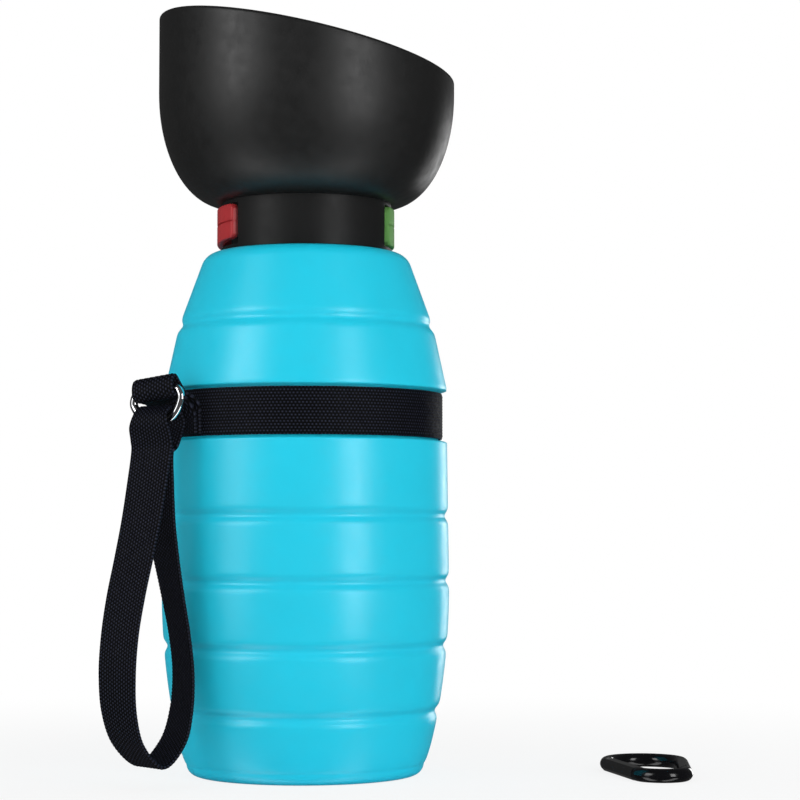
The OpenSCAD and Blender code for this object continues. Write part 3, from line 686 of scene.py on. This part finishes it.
webbing("tab_webbing", tab_path(), "bottle", ("strap_tab",))

STRAP_FOLD_W = 10.0
WIRE_SIDE = math.sqrt(RING_HALF ** 2 - (STRAP_FOLD_W / 2) ** 2)
STRAP_FOLD_H = RING_HALF - WIRE_SIDE + RING_WIRE_R * RING_HALF / WIRE_SIDE + WEB_GAP + WEB_T / 2
STRAP_FOLD_R = STRAP_FOLD_H - 0.3
FRONT_GAP, FRONT_DROP, BACK_DROP, SWING_ROOM = 2.5, 5.0, 6.0, 44.0

# Offsets from the strap's top in x, y and z, and the turn of the webbing's width in degrees
LEFT_LEG = [[-1.2, -2.1, -8, -30], [-2.1, -3.6, -16, -31], [-3.4, -5.4, -26, -32],
            [-5, -7.8, -36, -33], [-6.7, -10.4, -46, -34], [-7.9, -12.8, -56, -36],
            [-8.3, -14.4, -66, -37], [-7.7, -14.4, -76, -40], [-5.4, -12.3, -84.4, -45]]
STRAP_LOW = [0, -8.4, -90, -50]
RIGHT_LEG = [[5.1, -4, -84.4, -54], [7.2, -1.8, -76, -58], [7.6, -1.2, -66, -60],
             [6.5, -0.9, -56, -60], [4.7, -0.8, -46, -58], [2.9, -0.9, -36, -54],
             [1.2, -1, -26, -47], [0, -0.8, -16, -38], [-0.6, -0.4, -8, -32]]


def fold_share(a):
    """How near the webbing is to its full width at angle a of the fold, where the ring gathers it."""
    return max(0, cosd(a + SWING_ROOM)) ** 2 if a < 90 else cosd(a) ** 2


def strap_path():
    """The closed loop: over the ring's curve, down one leg, round the lowest point and up the other."""
    def at(across, rise, width):
        return [*(STRAP_TOP + RING_NORMAL * across + np.array([0, 0, rise])), RING_TURN, width, 0]

    def leg(rows):
        return [[*(STRAP_TOP + np.array(q[:3])), q[3], WEB_W, 0] for q in rows]

    fold = [at(STRAP_FOLD_R * cosd(a), STRAP_FOLD_H * sind(a), lerp(STRAP_FOLD_W, WEB_W, fold_share(a)))
            for a in range(205, -26, -23)]
    leg_gap = (WEB_T + WEB_GAP) / 2
    return (fold + [at(FRONT_GAP, -FRONT_DROP, WEB_W)] + leg(LEFT_LEG + [STRAP_LOW] + RIGHT_LEG)
            + [at(-leg_gap, -BACK_DROP, WEB_W)])


webbing("wrist_strap_webbing", strap_path(), "strap", ("wrist_strap",), closed=True)


# ---- Ring ----

def d_ring_path():
    """The ring's straight bar, its two corners and the round below, in the ring's tilted plane."""
    pts = [(-5.3, 0.0), (-2.6, 0.0), (0.0, 0.0), (2.6, 0.0), (5.3, 0.0), (6.9, -0.55)]
    pts += [(RING_HALF * cosd(a), -RING_LEG + RING_HALF * sind(a)) for a in range(-12, -169, -13)]
    pts += [(-6.9, -0.55)]
    flat = catmull(pts, 12, closed=True)
    along = np.array([cosd(RING_TURN) * cosd(RING_TILT), sind(RING_TURN) * cosd(RING_TILT),
                      sind(RING_TILT)])
    return RING_AT + flat[:, :1] * along + flat[:, 1:2] * RING_UP


pts, faces = tube(d_ring_path(), RING_WIRE_R, 28)
build("ring_wire", pts, faces, CHROME, "ring", ("d_ring",))


# ---- CAD nodes that keep their shape ----

KEPT = {"cap_gasket": SEAL_PALE, "cap_collar": BLACK_SATIN, "lower_valve_seal": SEAL_PALE,
        "slide_bar": SLIDE_PALE, "upper_valve_seal": SEAL_PALE, "valve_cover": INNER_BLACK,
        "outlet_nozzle": INNER_BLACK, "bowl_clamp_ring": INNER_BLACK, "clamp_screws": STEEL,
        "hook_body": HOOK_BLACK, "hook_gate": HOOK_BLACK, "gate_pin": STEEL, "gate_spring": STEEL}
for name, material in KEPT.items():
    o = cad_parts[name]
    o.data.materials.clear()
    o.data.materials.append(material)


# ---- Camera ----

cam_data = bpy.data.cameras.new("camera")
cam_data.lens = 102.15
cam_data.sensor_width = 36
cam_data.clip_start = 0.01
cam = bpy.data.objects.new("camera", cam_data)
bpy.context.collection.objects.link(cam)
cam.location = Vector((26.3, -635.6, 66.8)) * MM
cam.rotation_euler = (math.radians(90 + 3.35), 0, 0)
bpy.context.scene.camera = cam


# ---- Floor, background and lights ----

def backdrop_material():
    """A pale floor that fades to white away from the part, where only the camera looks. Reflections
    look through it, at lights that reach below its level."""
    m = bpy.data.materials.new("floor_mat")
    m.use_nodes = True
    t = m.node_tree
    t.nodes.clear()
    out = t.nodes.new("ShaderNodeOutputMaterial")
    plain = t.nodes.new("ShaderNodeBsdfDiffuse")
    plain.inputs["Color"].default_value = (0.86, 0.87, 0.87, 1)
    glow = t.nodes.new("ShaderNodeEmission")
    glow.inputs["Strength"].default_value = 1.0
    clear = t.nodes.new("ShaderNodeBsdfTransparent")
    path = t.nodes.new("ShaderNodeLightPath")
    place = t.nodes.new("ShaderNodeTexCoord")
    far = t.nodes.new("ShaderNodeVectorMath")
    far.operation = "LENGTH"
    fade = t.nodes.new("ShaderNodeMapRange")
    fade.interpolation_type = "SMOOTHSTEP"
    fade.inputs["From Min"].default_value = 0.06
    fade.inputs["From Max"].default_value = 0.34
    fade.inputs["To Min"].default_value = 0.84
    fade.inputs["To Max"].default_value = 1.0
    t.links.new(place.outputs["Object"], far.inputs[0])
    t.links.new(far.outputs["Value"], fade.inputs["Value"])
    share = t.nodes.new("ShaderNodeMath")
    share.operation = "MULTIPLY"
    t.links.new(fade.outputs["Result"], share.inputs[1])
    t.links.new(path.outputs["Is Camera Ray"], share.inputs[0])
    mix = t.nodes.new("ShaderNodeMixShader")
    t.links.new(share.outputs[0], mix.inputs[0])
    t.links.new(plain.outputs[0], mix.inputs[1])
    t.links.new(glow.outputs[0], mix.inputs[2])
    wall = t.nodes.new("ShaderNodeMixShader")
    t.links.new(path.outputs["Is Glossy Ray"], wall.inputs[0])
    t.links.new(mix.outputs[0], wall.inputs[1])
    t.links.new(clear.outputs[0], wall.inputs[2])
    t.links.new(wall.outputs[0], out.inputs[0])
    return m


floor_mesh = bpy.data.meshes.new("floor")
floor_mesh.from_pydata([(-8, -8, 0), (8, -8, 0), (8, 8, 0), (-8, 8, 0)], [], [(0, 1, 2, 3)])
floor_mesh.materials.append(backdrop_material())
floor = bpy.data.objects.new("floor", floor_mesh)
bpy.context.collection.objects.link(floor)

world = bpy.data.worlds.new("studio")
bpy.context.scene.world = world
world.use_nodes = True
wt = world.node_tree
wt.nodes.clear()


def background(colour, strength):
    n = wt.nodes.new("ShaderNodeBackground")
    n.inputs["Color"].default_value = (*colour, 1)
    n.inputs["Strength"].default_value = strength
    return n.outputs[0]


def choose(factor, a, b):
    n = wt.nodes.new("ShaderNodeMixShader")
    wt.links.new(factor, n.inputs[0])
    wt.links.new(a, n.inputs[1])
    wt.links.new(b, n.inputs[2])
    return n.outputs[0]


w_path = wt.nodes.new("ShaderNodeLightPath")
dim = choose(w_path.outputs["Is Glossy Ray"], background((0.97, 0.985, 1.0), 0.45),
             background((1, 1, 1), 0.07))
w_out = wt.nodes.new("ShaderNodeOutputWorld")
wt.links.new(choose(w_path.outputs["Is Camera Ray"], dim, background((1, 1, 1), 1.0)), w_out.inputs[0])


def softbox(name, angle, distance, height, width, tall, power, aim_z=0.11, shadow=True, glossy=True,
            diffuse=True):
    """A soft light on a circle round the bottle. Angle 0 is the camera's side, + to the right."""
    d = bpy.data.lights.new(name, "AREA")
    d.shape = "RECTANGLE"
    d.size = width
    d.size_y = tall
    d.energy = power
    d.use_shadow = shadow
    o = bpy.data.objects.new(name, d)
    bpy.context.collection.objects.link(o)
    o.location = (distance * sind(angle), -distance * cosd(angle), height)
    aim = Vector((0, 0, aim_z)) - o.location
    o.rotation_euler = aim.to_track_quat("-Z", "Y").to_euler()
    o.visible_glossy = glossy
    o.visible_diffuse = diffuse


# The first three and the last two light the part. The six in the loop are only seen in its gloss.
softbox("left_box", -54, 1.3, 0.45, 0.50, 1.2, 6.4, shadow=False, glossy=False)
softbox("right_box", 41, 1.3, 0.20, 0.40, 0.7, 7.4, glossy=False)
softbox("left_side", -100, 1.3, 0.20, 0.50, 0.8, 2.2, glossy=False)
for name, angle, distance, height, width, tall, power in (
        ("left_high", -52, 1.3, 0.62, 0.66, 0.7, 6.8), ("left_low", -56, 1.3, 0.03, 0.45, 0.5, 1.3),
        ("left_under", -66, 0.55, -0.75, 0.40, 0.9, 2.6), ("right_high", 41, 1.3, 0.45, 0.40, 0.6, 4.6),
        ("right_low", 41, 1.3, 0.00, 0.40, 0.3, 2.7), ("right_under", 56, 0.55, -0.75, 0.30, 0.9, 1.9)):
    softbox(name, angle, distance, height, width, tall, power, 0.17, shadow=False, diffuse=False)
softbox("right_rim", 150, 1.2, 0.08, 0.25, 0.45, 1.8)
softbox("fill", 35, 1.5, 0.70, 1.2, 1.2, 3.6, shadow=False, glossy=False)

bpy.context.scene.view_settings.view_transform = "Standard"
